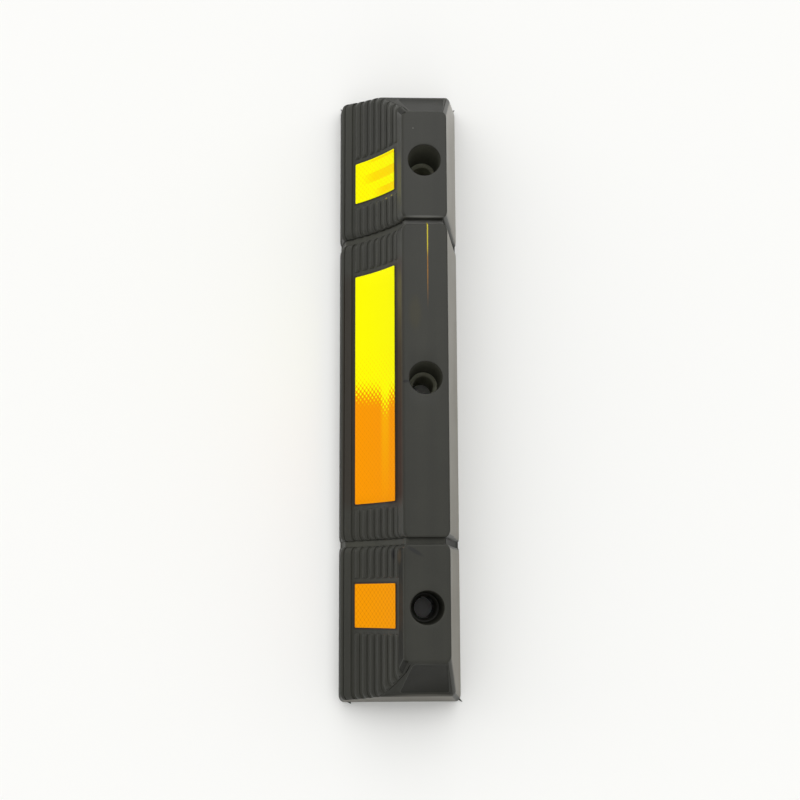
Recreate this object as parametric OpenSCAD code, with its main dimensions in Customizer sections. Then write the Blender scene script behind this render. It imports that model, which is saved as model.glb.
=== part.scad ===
// Rubber wheel stop: a moulded rubber block, bolted to the ground, that stops a parked wheel.
// X runs along the stop, Y from the ribbed front (-Y) to the steep back (+Y), Z up from the ground.
// Millimetres. The origin is the middle of the underside.

/* [Block] */
// Length along the ground
stop_length = 600; // [500:10:800]
// Depth at the ground, from front to back
stop_depth = 118; // [105:1:140]
// Height of the flat top above the ground
stop_height = 100; // [85:1:120]
// Depth of the flat top
top_depth = 42.5; // [38:0.5:50]
// Distance that the back leans in over its height
back_run = 16; // [8:0.5:22]
// Length of each end section along the ground, up to its groove
end_section_length = 147; // [120:1:180]

/* [Front face] */
// Height of the toe, the low upright wall that the sloping face starts from
toe_height = 20.5; // [14:0.5:26]
// How far the toe leans back over its height
toe_lean = 1.8; // [0:0.1:4]
// Radius of the hollow curve of the sloping face
face_radius = 220; // [160:5:400]
// Height of the steep lip under the front edge of the top
lip_height = 13.5; // [10:0.5:18]
// How far the lip leans back over its height
lip_lean = 4; // [2:0.5:7]

/* [Ribs] */
// Number of long ribs on the sloping face
rib_count = 7; // [4:1:9]
// Height of the ribs above their panel
rib_height = 1.6; // [0.9:0.1:2.4]
// Width of one rib at its foot, as a share of the rib pitch
rib_share = 0.66; // [0.5:0.02:0.8]
// Distance along the face from the toe to the rib panel
panel_start = 13; // [9:0.5:15]
// Distance along the face from the toe to the middle of the first rib
first_rib_at = 20; // [18:0.5:26]
// Bare strip of the panel above the last rib
last_rib_gap = 0.4; // [0.2:0.1:4]
// Distance along the face from the rib panel to the lip
panel_end_gap = 1; // [0.9:0.1:4]
// Distance along the face from the toe to the thin groove below the panel
toe_groove_at = 3.7; // [3.2:0.1:6]
// Width of that thin groove
toe_groove_width = 2; // [1:0.1:3]

/* [Edges] */
// Length of the rounding at the toe, along each of its two sides
toe_round = 1.5; // [0.5:0.25:2]
// Length of the rounding at the front edge of the top, along each side
front_edge_round = 3; // [1:0.5:4.5]
// Length of the rounding at the back edge of the top, along each side
back_edge_round = 1.5; // [0.5:0.5:3]
// Length over which each section rounds off at its ends
end_round_length = 7; // [4:0.5:9]
// How far the front and back draw in over that length
end_round_depth = 5; // [3:0.5:6.5]
// How far the flat top dips at the very end of a section
end_top_dip = 0.9; // [0.3:0.1:1.5]

/* [Grooves between the sections] */
// Width of a groove
groove_width = 6; // [4:0.2:8]
// How much narrower a groove's floor is than its mouth, on each side
groove_draft = 0.4; // [0.2:0.1:0.8]
// Depth of a groove below the flat top
groove_depth = 7; // [4:0.5:10]
// How far a groove's floor is drawn in behind the front and back
groove_inset = 6; // [5.5:0.25:9]
// How far it is drawn in at the ground
groove_foot_inset = 1.2; // [0.5:0.1:4]

/* [Chamfered ends] */
// Length that the end chamfer takes off the flat top
chamfer_length = 42; // [34:1:50]
// Height of the end wall under the chamfer
end_wall_height = 52.5; // [40:0.5:60]
// Lean of the end wall, in degrees
end_wall_lean = 9.3; // [4:0.1:12]

/* [Anchor holes] */
// Distance from each end of the stop to its end hole
hole_from_end = 90; // [80:1:105]
// Diameter of the through hole for the anchor
anchor_hole = 20; // [16:0.5:22]
// Width of the lead-in at the top of the through hole
lead_in = 2; // [0.5:0.25:3]
// Width of the flat seat round the lead-in
seat_ledge = 1.5; // [1:0.25:4]
// How much the counterbore widens from the seat to the top, on each side
counterbore_draft = 1.7; // [0.2:0.1:2.5]
// Depth of the seat below the top
seat_depth = 48.5; // [40:0.5:56]

/* [Reflective tape] */
// Distance from a groove to the tape beside it
tape_from_groove = 34.8; // [20:0.1:45]
// Distance from each end of the stop to its end tape
tape_from_end = 71.3; // [62:0.1:80]
// Width of the tape, up the face
tape_width = 60; // [45:1:64]
// Bare strip of the rib panel below the tape
tape_side_gap = 4.7; // [2:0.1:6]
// Thickness of the reflective film
film_thickness = 0.5; // [0.3:0.05:0.7]
// Thickness of the adhesive under the film
adhesive_thickness = 0.3; // [0.2:0.05:0.5]
// How far the film overlaps the adhesive at its edges
film_overlap = 0.5; // [0.2:0.1:1]
// Flat margin in the ribs beyond each end of a tape
tape_margin = 5; // [3:0.5:6]
// Length over which the ribs fade out beside a tape
rib_fade = 3; // [2:0.5:4]

/* [Cored underside] */
// Thickness of the rubber over the pockets, behind the sloping face
front_wall = 18; // [14:0.5:24]
// Distance from the foot of the front to the pockets
pocket_front_wall = 37; // [32:0.5:44]
// Distance from the pockets to the foot of the back
pocket_back_wall = 23; // [20:0.5:28]
// Thickness of the rubber above the pockets of the middle section
pocket_roof = 38; // [32:1:55]
// Thickness of the rubber above the end pockets, up to the height of the flat top
end_pocket_roof = 58; // [52:1:70]
// Thickness of the rubber left round each anchor hole
hole_wall = 18; // [14:0.5:20]
// Thickness of the cross wall between two pockets
cross_wall = 11; // [8:0.5:14]
// Thickness of the rubber beside each groove
groove_wall = 9; // [7:0.5:12]
// Thickness of the rubber at the foot of the end wall
end_wall = 21; // [16:0.5:24]

/* [Hidden] */
$fn = 96;
rubber_colour = "#3f403d";
film_colour = "#ffc400";
adhesive_colour = "#d8d4c4";
// Distance that a cut runs past the surface it opens
past = 1;
// Steps along a rounded corner of the outline, along a rounded section end, and down the chamfer
corner_steps = 3;
end_steps = 4;
chamfer_steps = 5;
// Distance between points that gather at one edge
crowding = groove_draft / 4;

front_y = -stop_depth / 2;
back_y = stop_depth / 2;
top_back_y = back_y - back_run;
top_front_y = top_back_y - top_depth;
end_x = stop_length / 2;
end_lean = tan(end_wall_lean);
groove_at = end_x - end_section_length - groove_width / 2;
middle_length = 2 * groove_at - groove_width;

// The sloping face is an arc from the top of the toe to the foot of the lip.
face_foot = [front_y + toe_lean, toe_height];
lip_foot = [top_front_y - lip_lean, stop_height - lip_height];
face_chord = norm(lip_foot - face_foot);
face_chord_angle = atan2(lip_foot.y - face_foot.y, lip_foot.x - face_foot.x);
face_half_angle = asin(face_chord / 2 / face_radius);
face_length = face_radius * 2 * face_half_angle * PI / 180;
face_centre = (face_foot + lip_foot) / 2
    + face_radius * cos(face_half_angle) * [-sin(face_chord_angle), cos(face_chord_angle)];

// Angle round the face's centre of the point that lies a distance up the slope.
function face_angle(along) =
    face_chord_angle - face_half_angle + along / face_radius * 180 / PI;

// Point of the sloping face: a distance up the slope, and a depth into the rubber.
function face_point(along, depth = 0) =
    face_centre + (face_radius + depth) * [sin(face_angle(along)), -cos(face_angle(along))];

// Points of a rounded corner between two straight sides.
function rounded(from, corner, to) =
    [for (i = [0:corner_steps])
        let (t = i / corner_steps)
        from * (1 - t) ^ 2 + corner * 2 * t * (1 - t) + to * t ^ 2];

// Point on the straight line from one point towards another, a distance from the first.
function towards(from, to, distance) = from + (to - from) * distance / norm(to - from);

function reversed(list) = [for (i = [len(list) - 1:-1:0]) list[i]];

// The ribs lie in a panel that is sunk by their height. Each rib is five points wide: its form
// gives their places in half widths from its middle, and their heights in rib heights. Its lower
// side slopes more, so that it still comes out of the mould where the face is steep.
panel_end = face_length - panel_end_gap;
panel_edge = rib_height / 2;
rib_pitch = (panel_end - last_rib_gap - first_rib_at) / (rib_count - 1 + rib_share / 2);
rib_half = rib_pitch * rib_share / 2;
rib_form = [[-1, 0], [-0.4, 0.8], [0.2, 1], [0.75, 0.75], [1, 0]];

function rib_points(rib) =
    [for (i = [0:rib_count - 1], form = rib_form)
        face_point(first_rib_at + i * rib_pitch + form[0] * rib_half,
                   rib_height * (1 - form[1] * rib))];

// The thin groove has a floor half as wide as its mouth. Its form gives places in half widths,
// and depths in rib heights.
toe_groove_form = [[-1, 0], [-0.5, 0.7], [0.5, 0.7], [1, 0]];

function toe_groove_points(land) =
    [for (form = toe_groove_form)
        face_point(toe_groove_at + form[0] * toe_groove_width / 2,
                   rib_height * (form[1] * land + 1 - land))];

// Outline of the front, from the ground up to the flat top. rib and land go from 1, full height,
// down to 0, where the ribs or the whole face are level with the floor of the rib panel.
function front_outline(rib, land) =
    let (sunk = rib_height * (1 - land),
         toe_top = face_point(0, sunk),
         lip_top = [top_front_y, stop_height],
         foot = [front_y, 0])
    concat(
        [foot],
        rounded(towards(toe_top, foot, toe_round), toe_top, face_point(toe_round, sunk)),
        toe_groove_points(land),
        [face_point(panel_start - panel_edge, sunk), face_point(panel_start, rib_height)],
        rib_points(rib),
        [face_point(panel_end, rib_height), face_point(panel_end + panel_edge, sunk)],
        rounded(towards(lip_top, lip_foot, front_edge_round), lip_top,
                lip_top + [front_edge_round, 0]));

// The front outline cut off flat at a ceiling. Its points above the cut gather at the cut's edge.
function cut_front(points, ceiling) =
    let (above = [for (i = [0:len(points) - 1]) if (points[i].y > ceiling - crowding) i])
    ceiling >= stop_height ? points :
    let (first = above[0],
         from = points[first - 1],
         to = points[first],
         share = min(1, (ceiling - from.y) / (to.y - from.y)))
    [for (i = [0:len(points) - 1])
        i < first ? points[i] : [from.x + (to.x - from.x) * share + (i - first) * crowding, ceiling]];

// Outline of the back, from a ceiling down the leaning back to the ground.
function back_outline(ceiling) =
    let (foot = [back_y, 0],
         corner = foot + ([top_back_y, stop_height] - foot) * ceiling / stop_height)
    concat(rounded(corner - [back_edge_round, 0], corner, towards(corner, foot, back_edge_round)),
           [foot]);

// The end chamfer: its height over a leaning outline that stands at a place on the ground, and
// where the block ends at a height, on the chamfer or on the end wall.
chamfer_top_x = end_x - chamfer_length;
chamfer_foot_x = end_x - end_wall_height * end_lean;
chamfer_slope = (stop_height - end_wall_height) / (chamfer_foot_x - chamfer_top_x);
chamfer_from = chamfer_top_x + stop_height * end_lean;
function chamfer_height(at) =
    min(stop_height, (stop_height - chamfer_slope * (at - chamfer_top_x)) / (1 - chamfer_slope * end_lean));
function end_at(height) =
    min(end_x - end_lean * height, chamfer_top_x + (stop_height - height) / chamfer_slope);

// How far the front and back draw in, at a distance from the end of a section.
function draw_in(distance) =
    let (share = 1 - min(1, max(0, distance) / end_round_length))
    end_round_depth * (1 - sqrt(1 - share ^ 2));

// Point of an outline set in its place along the stop. side is 1 on the front and -1 on the back.
// Under the end chamfer, each point draws in by its own distance from the end.
function placed(point, side, at, inset, lean) =
    let (x = at - lean * point.y,
         drawn = lean == 0 ? inset : draw_in(end_at(point.y) - abs(x)))
    [x, point.x + side * drawn, point.y];

// An outline round the block at a place along the stop. It can lean, and dip under the flat top.
// Its points on the ground can be drawn in less than the rest.
function station(at, inset = 0, dip = 0, rib = 1, land = 1, lean = 0, foot_inset = undef) =
    let (ceiling = chamfer_height(abs(at)) - dip,
         foot = is_undef(foot_inset) ? inset : foot_inset)
    concat([for (p = cut_front(front_outline(rib, land), ceiling))
               placed(p, 1, at, p.y == 0 ? foot : inset, lean)],
           [for (p = back_outline(ceiling)) placed(p, -1, at, p.y == 0 ? foot : inset, lean)]);

// Distances from the end of a section at which its rounded end has an outline.
round_steps = [for (i = [0:end_steps]) end_round_length * (1 - cos(90 * i / end_steps))];

// The rounded end of a section at a place, running inwards (way is -1 or 1).
function section_end(at, way, lean = 0) =
    [for (distance = round_steps)
        station(at + way * distance, draw_in(distance), distance == 0 ? end_top_dip : 0, lean = lean)];

// The outlines under the end chamfer lean with the end wall, and so do those where the flat top
// draws in before it.
function end_chamfer(way) =
    let (start = end_x - end_round_length)
    [for (at = concat([for (i = [1:chamfer_steps - 1]) start + (chamfer_from - start) * i / chamfer_steps],
                      [for (distance = round_steps) chamfer_from - distance]))
        station(way * at, lean = way * end_lean)];

// The ribs fade out beside a tape and come back after it. Each step is [side, fade, rib].
tape_steps = [[-1, 1, 1], [-1, 0.4, 0.5], [-1, 0, 0], [1, 0, 0], [1, 0.4, 0.5], [1, 1, 1]];
function tape_stretch(middle, length, way = 1) =
    let (flat = length / 2 + tape_margin)
    [for (s = tape_steps) station(middle + way * s[0] * (flat + s[1] * rib_fade), rib = s[2])];

function groove(at) =
    [for (side = [-1, 1])
        station(at + side * (groove_width / 2 - groove_draft), groove_inset, groove_depth, 0, 0,
                foot_inset = groove_foot_inset)];

middle_tape_length = middle_length - 2 * tape_from_groove;
end_tape_length = end_section_length - tape_from_groove - tape_from_end;
end_tape_at = end_x - tape_from_end - end_tape_length / 2;

function end_section(way) =
    concat(section_end(way * end_x, -way, way * end_lean),
           end_chamfer(way),
           tape_stretch(way * end_tape_at, end_tape_length, -way),
           reversed(section_end(way * (groove_at + groove_width / 2), way)));

stations = concat(
    end_section(-1),
    groove(-groove_at),
    section_end(-middle_length / 2, 1),
    tape_stretch(0, middle_tape_length),
    reversed(section_end(middle_length / 2, -1)),
    groove(groove_at),
    reversed(end_section(1)));

// Closed skin through all the stations, with one flat face at each end.
module skin(rings) {
    count = len(rings[0]);
    last = (len(rings) - 1) * count;
    polyhedron(
        points = [for (ring = rings, p = ring) p],
        faces = concat(
            [[for (i = [0:count - 1]) i]],
            [for (r = [0:len(rings) - 2], i = [0:count - 1], half = [0, 1])
                let (a = r * count + i,
                     b = r * count + (i + 1) % count,
                     c = a + count,
                     d = b + count)
                half == 0 ? [a, c, b] : [b, c, d]],
            [[for (i = [count - 1:-1:0]) last + i]]));
}

// One hole stands in the middle and one near each end, in the middle of the flat top's depth.
hole_y = (top_front_y + top_back_y) / 2;
end_hole_x = end_x - hole_from_end;
seat_z = stop_height - seat_depth;
counterbore_seat = anchor_hole + 2 * lead_in + 2 * seat_ledge;

module anchor_hole_cut() {
    translate([0, hole_y, 0]) {
        translate([0, 0, -past])
            cylinder(h = seat_z + 2 * past, d = anchor_hole);
        translate([0, 0, seat_z - lead_in])
            cylinder(h = lead_in, d1 = anchor_hole, d2 = anchor_hole + 2 * lead_in);
        // The counterbore keeps its taper where the cut runs past the top.
        translate([0, 0, seat_z])
            cylinder(h = seat_depth + past, d1 = counterbore_seat,
                     d2 = counterbore_seat + 2 * counterbore_draft * (seat_depth + past) / seat_depth);
    }
}

// Pockets under the block. Their ceiling follows the sloping face, a wall's thickness below it.
pocket_front_y = front_y + pocket_front_wall;
pocket_back_y = back_y - pocket_back_wall;
ceiling_radius = face_radius + front_wall;
ceiling_steps = 8;

module pocket(from, to, height) {
    level_y = face_centre.x + sqrt(ceiling_radius ^ 2 - (face_centre.y - height) ^ 2);
    ceiling = [for (i = [0:ceiling_steps])
        let (y = pocket_front_y + (level_y - pocket_front_y) * i / ceiling_steps)
        [y, face_centre.y - sqrt(ceiling_radius ^ 2 - (y - face_centre.x) ^ 2)]];
    translate([from, 0, 0])
        rotate([90, 0, 90])
            linear_extrude(to - from)
                polygon(concat([[pocket_front_y, -past]], ceiling,
                               [[pocket_back_y - back_run * height / stop_height, height],
                                [pocket_back_y, 0],
                                [pocket_back_y, -past]]));
}

module pockets() {
    hole_block = counterbore_seat / 2 + hole_wall;
    middle_end = middle_length / 2 - groove_wall;
    width = (middle_end - hole_block - cross_wall) / 2;
    for (way = [0, 1])
        mirror([way, 0, 0]) {
            pocket(hole_block, hole_block + width, stop_height - pocket_roof);
            pocket(middle_end - width, middle_end, stop_height - pocket_roof);
            pocket(end_hole_x + hole_block, end_x - end_wall, stop_height - end_pocket_roof);
        }
}

module rubber_body() {
    color(rubber_colour)
        difference() {
            skin(stations);
            for (x = [-end_hole_x, 0, end_hole_x])
                translate([x, 0, 0])
                    anchor_hole_cut();
            pockets();
        }
}

// A strip that lies on the floor of the rib panel, between two heights above it.
tape_start = panel_start + tape_side_gap;
tape_bend_steps = 28;

function tape_layer(lift, edge) =
    [for (i = [0:tape_bend_steps])
        face_point(tape_start + edge + (tape_width - 2 * edge) * i / tape_bend_steps,
                   rib_height - lift)];

module tape_strip(middle, length, low, high, edge) {
    translate([middle - length / 2 + edge, 0, 0])
        rotate([90, 0, 90])
            linear_extrude(length - 2 * edge)
                polygon(concat(tape_layer(high, edge), reversed(tape_layer(low, edge))));
}

module tape_film(middle, length) {
    color(film_colour)
        tape_strip(middle, length, adhesive_thickness, adhesive_thickness + film_thickness, 0);
}

module tape_adhesive(middle, length) {
    color(adhesive_colour)
        tape_strip(middle, length, 0, adhesive_thickness, film_overlap);
}

module tape_film_middle() { tape_film(0, middle_tape_length); }
module tape_film_left() { tape_film(-end_tape_at, end_tape_length); }
module tape_film_right() { tape_film(end_tape_at, end_tape_length); }
module tape_adhesive_middle() { tape_adhesive(0, middle_tape_length); }
module tape_adhesive_left() { tape_adhesive(-end_tape_at, end_tape_length); }
module tape_adhesive_right() { tape_adhesive(end_tape_at, end_tape_length); }

rubber_body();
tape_film_middle();
tape_film_left();
tape_film_right();
tape_adhesive_middle();
tape_adhesive_left();
tape_adhesive_right();
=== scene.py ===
# %% [markdown]
# # A rubber wheel stop
#
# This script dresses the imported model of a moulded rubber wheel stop: a long black block with a
# hollow, ribbed front, a flat top with three deep anchor holes, chamfered ends and two thin cross
# grooves, with three strips of prismatic reflective tape on its front.
#
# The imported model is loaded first. It fixes every size. X runs along the stop, Y from the ribbed
# front to the steep back, Z up from the ground, and the origin is the middle of the underside.

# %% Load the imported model
import math

import bpy
from mathutils import Matrix, Vector


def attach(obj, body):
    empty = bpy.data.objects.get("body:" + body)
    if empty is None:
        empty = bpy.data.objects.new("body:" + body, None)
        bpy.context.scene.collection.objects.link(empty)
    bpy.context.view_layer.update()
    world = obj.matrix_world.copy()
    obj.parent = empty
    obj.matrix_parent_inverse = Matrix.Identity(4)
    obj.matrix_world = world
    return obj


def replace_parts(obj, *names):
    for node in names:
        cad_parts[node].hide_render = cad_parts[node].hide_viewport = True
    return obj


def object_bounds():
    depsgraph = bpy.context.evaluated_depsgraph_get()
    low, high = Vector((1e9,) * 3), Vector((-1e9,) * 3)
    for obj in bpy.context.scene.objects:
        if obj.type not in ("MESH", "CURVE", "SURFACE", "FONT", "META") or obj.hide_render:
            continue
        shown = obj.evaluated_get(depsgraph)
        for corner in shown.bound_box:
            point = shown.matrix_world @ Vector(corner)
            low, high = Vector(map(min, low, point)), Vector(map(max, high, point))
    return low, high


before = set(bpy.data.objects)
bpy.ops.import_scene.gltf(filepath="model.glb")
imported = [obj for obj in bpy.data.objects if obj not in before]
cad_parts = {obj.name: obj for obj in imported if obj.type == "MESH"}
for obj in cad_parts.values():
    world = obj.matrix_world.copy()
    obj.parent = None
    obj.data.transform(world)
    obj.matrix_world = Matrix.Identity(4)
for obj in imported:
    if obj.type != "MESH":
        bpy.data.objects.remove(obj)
cad_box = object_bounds()
print("nodes:", ", ".join(sorted(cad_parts)))

# %% [markdown]
# ## Sizes
#
# The mould's main sizes, in millimetres. The length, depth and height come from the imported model.
# The others are those that the solids were made with, so that each new piece lies where its solid
# lies, and only the grooves cut in a little less at the front and back. Blender works in metres, and
# MM turns one into the other. The tape's own map is in decimetres.

# %% Name the sizes
MM = 0.001
DECIMETRE = 100

half_length, half_depth, height = (round(reach / MM, 2) for reach in cad_box[1])
top_depth = 42.5
back_run = 16
back_lean = back_run / height
top_back_y = half_depth - back_run
top_front_y = top_back_y - top_depth
lip_height = 13.5
lip_lean = 4
lip_foot = Vector((top_front_y - lip_lean, height - lip_height))
toe_height = 20.5
toe_lean = 1.8
face_radius = 220

end_section_length = 147
groove_width = 6
groove_depth = 7
groove_inset = 4.9
groove_foot_inset = 1.2
middle_half = half_length - end_section_length - groove_width

chamfer_length = 42
chamfer_top_x = half_length - chamfer_length
end_wall_height = 52.5
end_wall_lean = 9.3
end_lean = math.tan(math.radians(end_wall_lean))

hole_from_end = 90
seat_depth = 48.5
hole_x = half_length - hole_from_end
hole_y = (top_front_y + top_back_y) / 2
seat_z = height - seat_depth


def chamfer_to(foot_z):
    """Where the chamfer's foot is along the stop, and its slope, for the height of the foot."""
    foot_x = half_length - foot_z * end_lean
    return foot_x, (height - foot_z) / (foot_x - chamfer_top_x)


chamfer_foot_z = end_wall_height
chamfer_foot_x, chamfer_slope = chamfer_to(chamfer_foot_z)
print(f"{2 * half_length:g} x {2 * half_depth:g} x {height:g} mm")

# %% [markdown]
# ## The hollow face
#
# The sloping front is an arc from the top of the toe to the foot of the lip. Everything on it, the
# ribs, the thin groove and the tape, is placed by its distance along this arc and its depth under
# it, as a mould maker would set it out.

# %% Work out the arc of the face
toe_top = Vector((-half_depth + toe_lean, toe_height))
face_chord = lip_foot - toe_top
face_half_angle = math.asin(face_chord.length / 2 / face_radius)
face_length = face_radius * 2 * face_half_angle
chord_angle = math.atan2(face_chord.y, face_chord.x)
face_centre = (toe_top + lip_foot) / 2 + face_radius * math.cos(face_half_angle) * Vector(
    (-math.sin(chord_angle), math.cos(chord_angle)))


def face_point(along, depth=0.0):
    """The (y, z) of a point of the sloping face, a distance up the slope and a depth into the rubber."""
    angle = chord_angle - face_half_angle + along / face_radius
    return face_centre + (face_radius + depth) * Vector((math.sin(angle), -math.cos(angle)))


print(f"the face is {face_length:.2f} mm long, round {face_centre.x:.1f}, {face_centre.y:.1f}")

# %% [markdown]
# ## The camera
#
# The photograph looks almost straight down on the stop from 1.2 m, with the stop upright in the
# picture and its near end at the bottom. The camera stands where a fit to the photograph's corners,
# hole rims and grooves put it. The rows of its turn are the picture's right, up and back directions
# in the part's frame.

# %% Set the camera
camera_place = Vector((201.527, -42.433, 1244.311)) * MM
picture_side = 800
focal_length_in_pixels = 1258.67
picture_turn = Matrix(((0, 1, 0), (-1, 0, 0), (0, 0, 1)))
fitted_turn = (Matrix.Rotation(-0.00163502, 3, "Z") @ Matrix.Rotation(0.0347316, 3, "Y")
               @ Matrix.Rotation(-0.156419, 3, "X") @ picture_turn)
bpy.ops.object.camera_add(location=camera_place)
camera = bpy.context.object
camera.name = "camera"
camera.rotation_euler = fitted_turn.transposed().to_euler()
camera.data.sensor_width = 36
camera.data.lens = focal_length_in_pixels / picture_side * camera.data.sensor_width
camera.data.clip_end = 50
bpy.context.scene.camera = camera
print(f"lens {camera.data.lens:.1f} mm, {camera_place.z:.2f} m above the floor")

# %% [markdown]
# ## The section ends and the end faces
#
# The moulding is three blocks in a row. The front and back of each block draw in over the last few
# millimetres in a quarter of an ellipse, so its corners are round, and the edge of its flat top
# rolls over. At the two ends of the stop, the block ends on a leaning end wall with a wide chamfer
# above it, and the rounding follows both.

# %% Say how a section ends
round_length = 7
round_depth = 5
roll_reach = 1.5


def end_at(z):
    """How far from the middle the stop reaches at a height, on the chamfer or the end wall."""
    return min(half_length - end_lean * z, chamfer_top_x + (height - z) / chamfer_slope)


def draw_in(distance, length=round_length, depth=round_depth):
    """How far the front and back draw in, at a distance from the end of a section."""
    share = 1 - min(1, max(0, distance) / length)
    return depth * (1 - math.sqrt(1 - share * share))


def roll_over(distance, steepness):
    """At a distance from the end of a section: the dip of the flat top, and the gap to the end face."""
    share = max(0.0, 1 - distance / roll_reach)
    return roll_reach * steepness * share * share, min(distance, roll_reach) * distance / roll_reach


# %% [markdown]
# ## The outline of the block
#
# A cut across the stop shows its outline: up the toe, over the thin groove and the flat land, over
# seven ribs, up the lip, back along the flat top and down the leaning back. All cuts have the same
# number of points, so that each point has its partner in the next cut. The points lie closest where
# the outline turns.

# %% List the points of the sloping face
rib_count = 7
rib_height = 1.6
rib_share = 0.66
panel_start = 13
panel_end_gap = 1
panel_end = face_length - panel_end_gap
first_rib_at = 20
last_rib_gap = 0.4
rib_pitch = (panel_end - last_rib_gap - first_rib_at) / (rib_count - 1 + rib_share / 2)
rib_half = rib_pitch * rib_share / 2
toe_round = 1.5
toe_groove_at = 3.7
toe_groove_half = 0.95
toe_groove_depth = 1.5
front_edge_round = 3
front_edge_steps = 8
back_edge_round = 1.5
back_edge_steps = 5


def spread(low, high, count):
    """count + 1 evenly spaced numbers from low to high."""
    return [low + (high - low) * i / count for i in range(count + 1)]


def rib_form(share):
    """The height of a rib across its width, from -1 to 1, as a share of its full height. Its crest
    lies above the middle, and its lower side slopes more."""
    crest = 0.15
    if share < crest:
        return max(0.0, 1 - ((crest - share) / (1 + crest)) ** 2) ** 0.7
    return max(0.0, 1 - ((share - crest) / (1 - crest)) ** 2.6) ** 0.5


# Each wall of the panel is a list of (place from the panel's edge, depth).
lower_wall = [(-0.45, 0.15), (-0.2, 0.8), (0, 1.45), (0.4, rib_height)]
upper_wall = [(0, 1.45), (0.2, 0.8), (0.4, 0.15), (0.6, 0)]
rib_shares = [-1, -0.97, -0.9, -0.8, -0.65, -0.45, -0.2, 0.05, 0.3, 0.52, 0.7, 0.83, 0.92, 0.975, 1]

# Each point of the face is (place up the slope, depth without ribs, height of the rib there). The
# thin groove lies below the flat land, and the panel with the ribs above it.
face_points = [(1.9, 0, 0), (2.6, 0, 0)]
for place in spread(-toe_groove_half, toe_groove_half, 8):
    face_points.append((toe_groove_at + place, toe_groove_depth * (1 - place ** 2), 0))
face_points += [(place, 0, 0) for place in (4.9, 5.5, 7, 9.5, 11.4, 12, 12.3)]
face_points += [(panel_start + place, depth, 0) for place, depth in lower_wall]
face_points.append((first_rib_at - rib_half - 0.6, rib_height, 0))
for rib in range(rib_count):
    middle = first_rib_at + rib * rib_pitch
    for share in rib_shares:
        face_points.append((middle + share * rib_half, rib_height, rib_height * rib_form(share)))
face_points += [(panel_end + place, depth, 0) for place, depth in upper_wall]
print(len(face_points), "points up the sloping face")


# %% Draw the outline
def rounded(start, corner, end, count):
    """Points of a rounded corner between two straight sides."""
    return [start.lerp(corner, share).lerp(corner.lerp(end, share), share) for share in spread(0, 1, count)]


def towards(start, end, distance):
    """The point at a distance from start on the straight line to end."""
    return start + (end - start).normalized() * distance


def outline(top=height, ribs=1.0, land=1.0):
    """The points of a cut as (y, z, side, roll): side is 1 at the front and -1 at the back, and roll
    is 1 where the point belongs to the flat top."""
    sunk = rib_height * (1 - land)
    foot = Vector((-half_depth, 0))
    corner = face_point(0, sunk)
    wall_top = towards(corner, foot, toe_round)
    front = [foot.lerp(wall_top, share) for share in (0, 0.06, 0.25, 0.5, 0.75, 0.93)]
    front += rounded(wall_top, corner, face_point(toe_round, sunk), 6)
    front += [face_point(place, sunk + depth * land - rib * ribs) for place, depth, rib in face_points]

    lip_top = Vector((lip_foot.x + lip_lean / lip_height * (top - lip_foot.y), top))
    lip_start = towards(lip_top, lip_foot, min(front_edge_round, (top - lip_foot.y) * 0.6))
    front += [lip_foot.lerp(lip_start, share) for share in (0, 0.08, 0.35, 0.65, 0.92)]
    lip_corner = rounded(lip_start, lip_top, lip_top + Vector((front_edge_round, 0)), front_edge_steps)

    back_top = Vector((half_depth - back_lean * top, top))
    back_foot = Vector((half_depth, 0))
    back_start = towards(back_top, back_foot, back_edge_round)
    back_corner = rounded(back_top - Vector((back_edge_round, 0)), back_top, back_start, back_edge_steps)
    kink = Vector((half_depth - back_lean * chamfer_foot_z, chamfer_foot_z))
    back = [back_start.lerp(kink, share) for share in (0.03, 0.3, 0.65, 0.95, 1)]
    back += [kink.lerp(back_foot, share) for share in (0.04, 0.35, 0.65, 0.94, 1)]

    points = [(p.x, p.y, 1, 0) for p in front]
    points += [(p.x, p.y, 1, i / front_edge_steps) for i, p in enumerate(lip_corner)]
    for share in (0.06, 0.25, 0.5, 0.75, 0.94):
        middle = lip_corner[-1].lerp(back_corner[0], share)
        points.append((middle.x, middle.y, 1 - 2 * share, 1))
    points += [(p.x, p.y, -1, 1 - i / back_edge_steps) for i, p in enumerate(back_corner)]
    points += [(p.x, p.y, -1, 0) for p in back]
    return points


# The foot of the chamfer moves to the nearest point of the front, and the back gets a point there too.
full_outline = outline()
row_count = len(full_outline)
front_rows = [row for row, point in enumerate(full_outline) if point[2] == 1]
front_kink = min(front_rows, key=lambda row: abs(full_outline[row][1] - chamfer_foot_z))
chamfer_foot_z = full_outline[front_kink][1]
chamfer_foot_x, chamfer_slope = chamfer_to(chamfer_foot_z)
back_kink = max(row for row, point in enumerate(outline()) if point[1] >= chamfer_foot_z - 1e-9)
print(f"{row_count} points round a cut, chamfer down to {chamfer_foot_z:.2f} mm")

# %% [markdown]
# ## The cuts along the stop
#
# The cuts lie close together where the shape changes: at the rounded ends, at the grooves, and
# where the ribs run out beside a tape. Near the two ends of the stop they lean more and more, until
# the last one lies on the end wall and the chamfer, so that the edge of the chamfer is a clean line.

# %% List the cuts
end_steps = [0, 0.03, 0.12, 0.3, 0.55, 0.9, 1.5, 2.2, 3.1, 4.2, 5.5, 7]
fade_steps = [0, 0.04, 0.16, 0.38, 0.68, 1]
rib_fade = 3
lean_start = 239
tape_from_groove = 34.8
tape_from_end = 71.3
tape_margin = 5
middle_tape_end = middle_half - tape_from_groove
end_tape_start = middle_half + groove_width + tape_from_groove
end_tape_end = half_length - tape_from_end


def cut(place, ribs=1.0, distance=round_length, groove=False, lean=None):
    """One cut: its place, its ribs, its distance from a section end, and how far it leans to the end."""
    return {"place": place, "ribs": ribs, "distance": distance, "groove": groove, "lean": lean}


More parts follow.
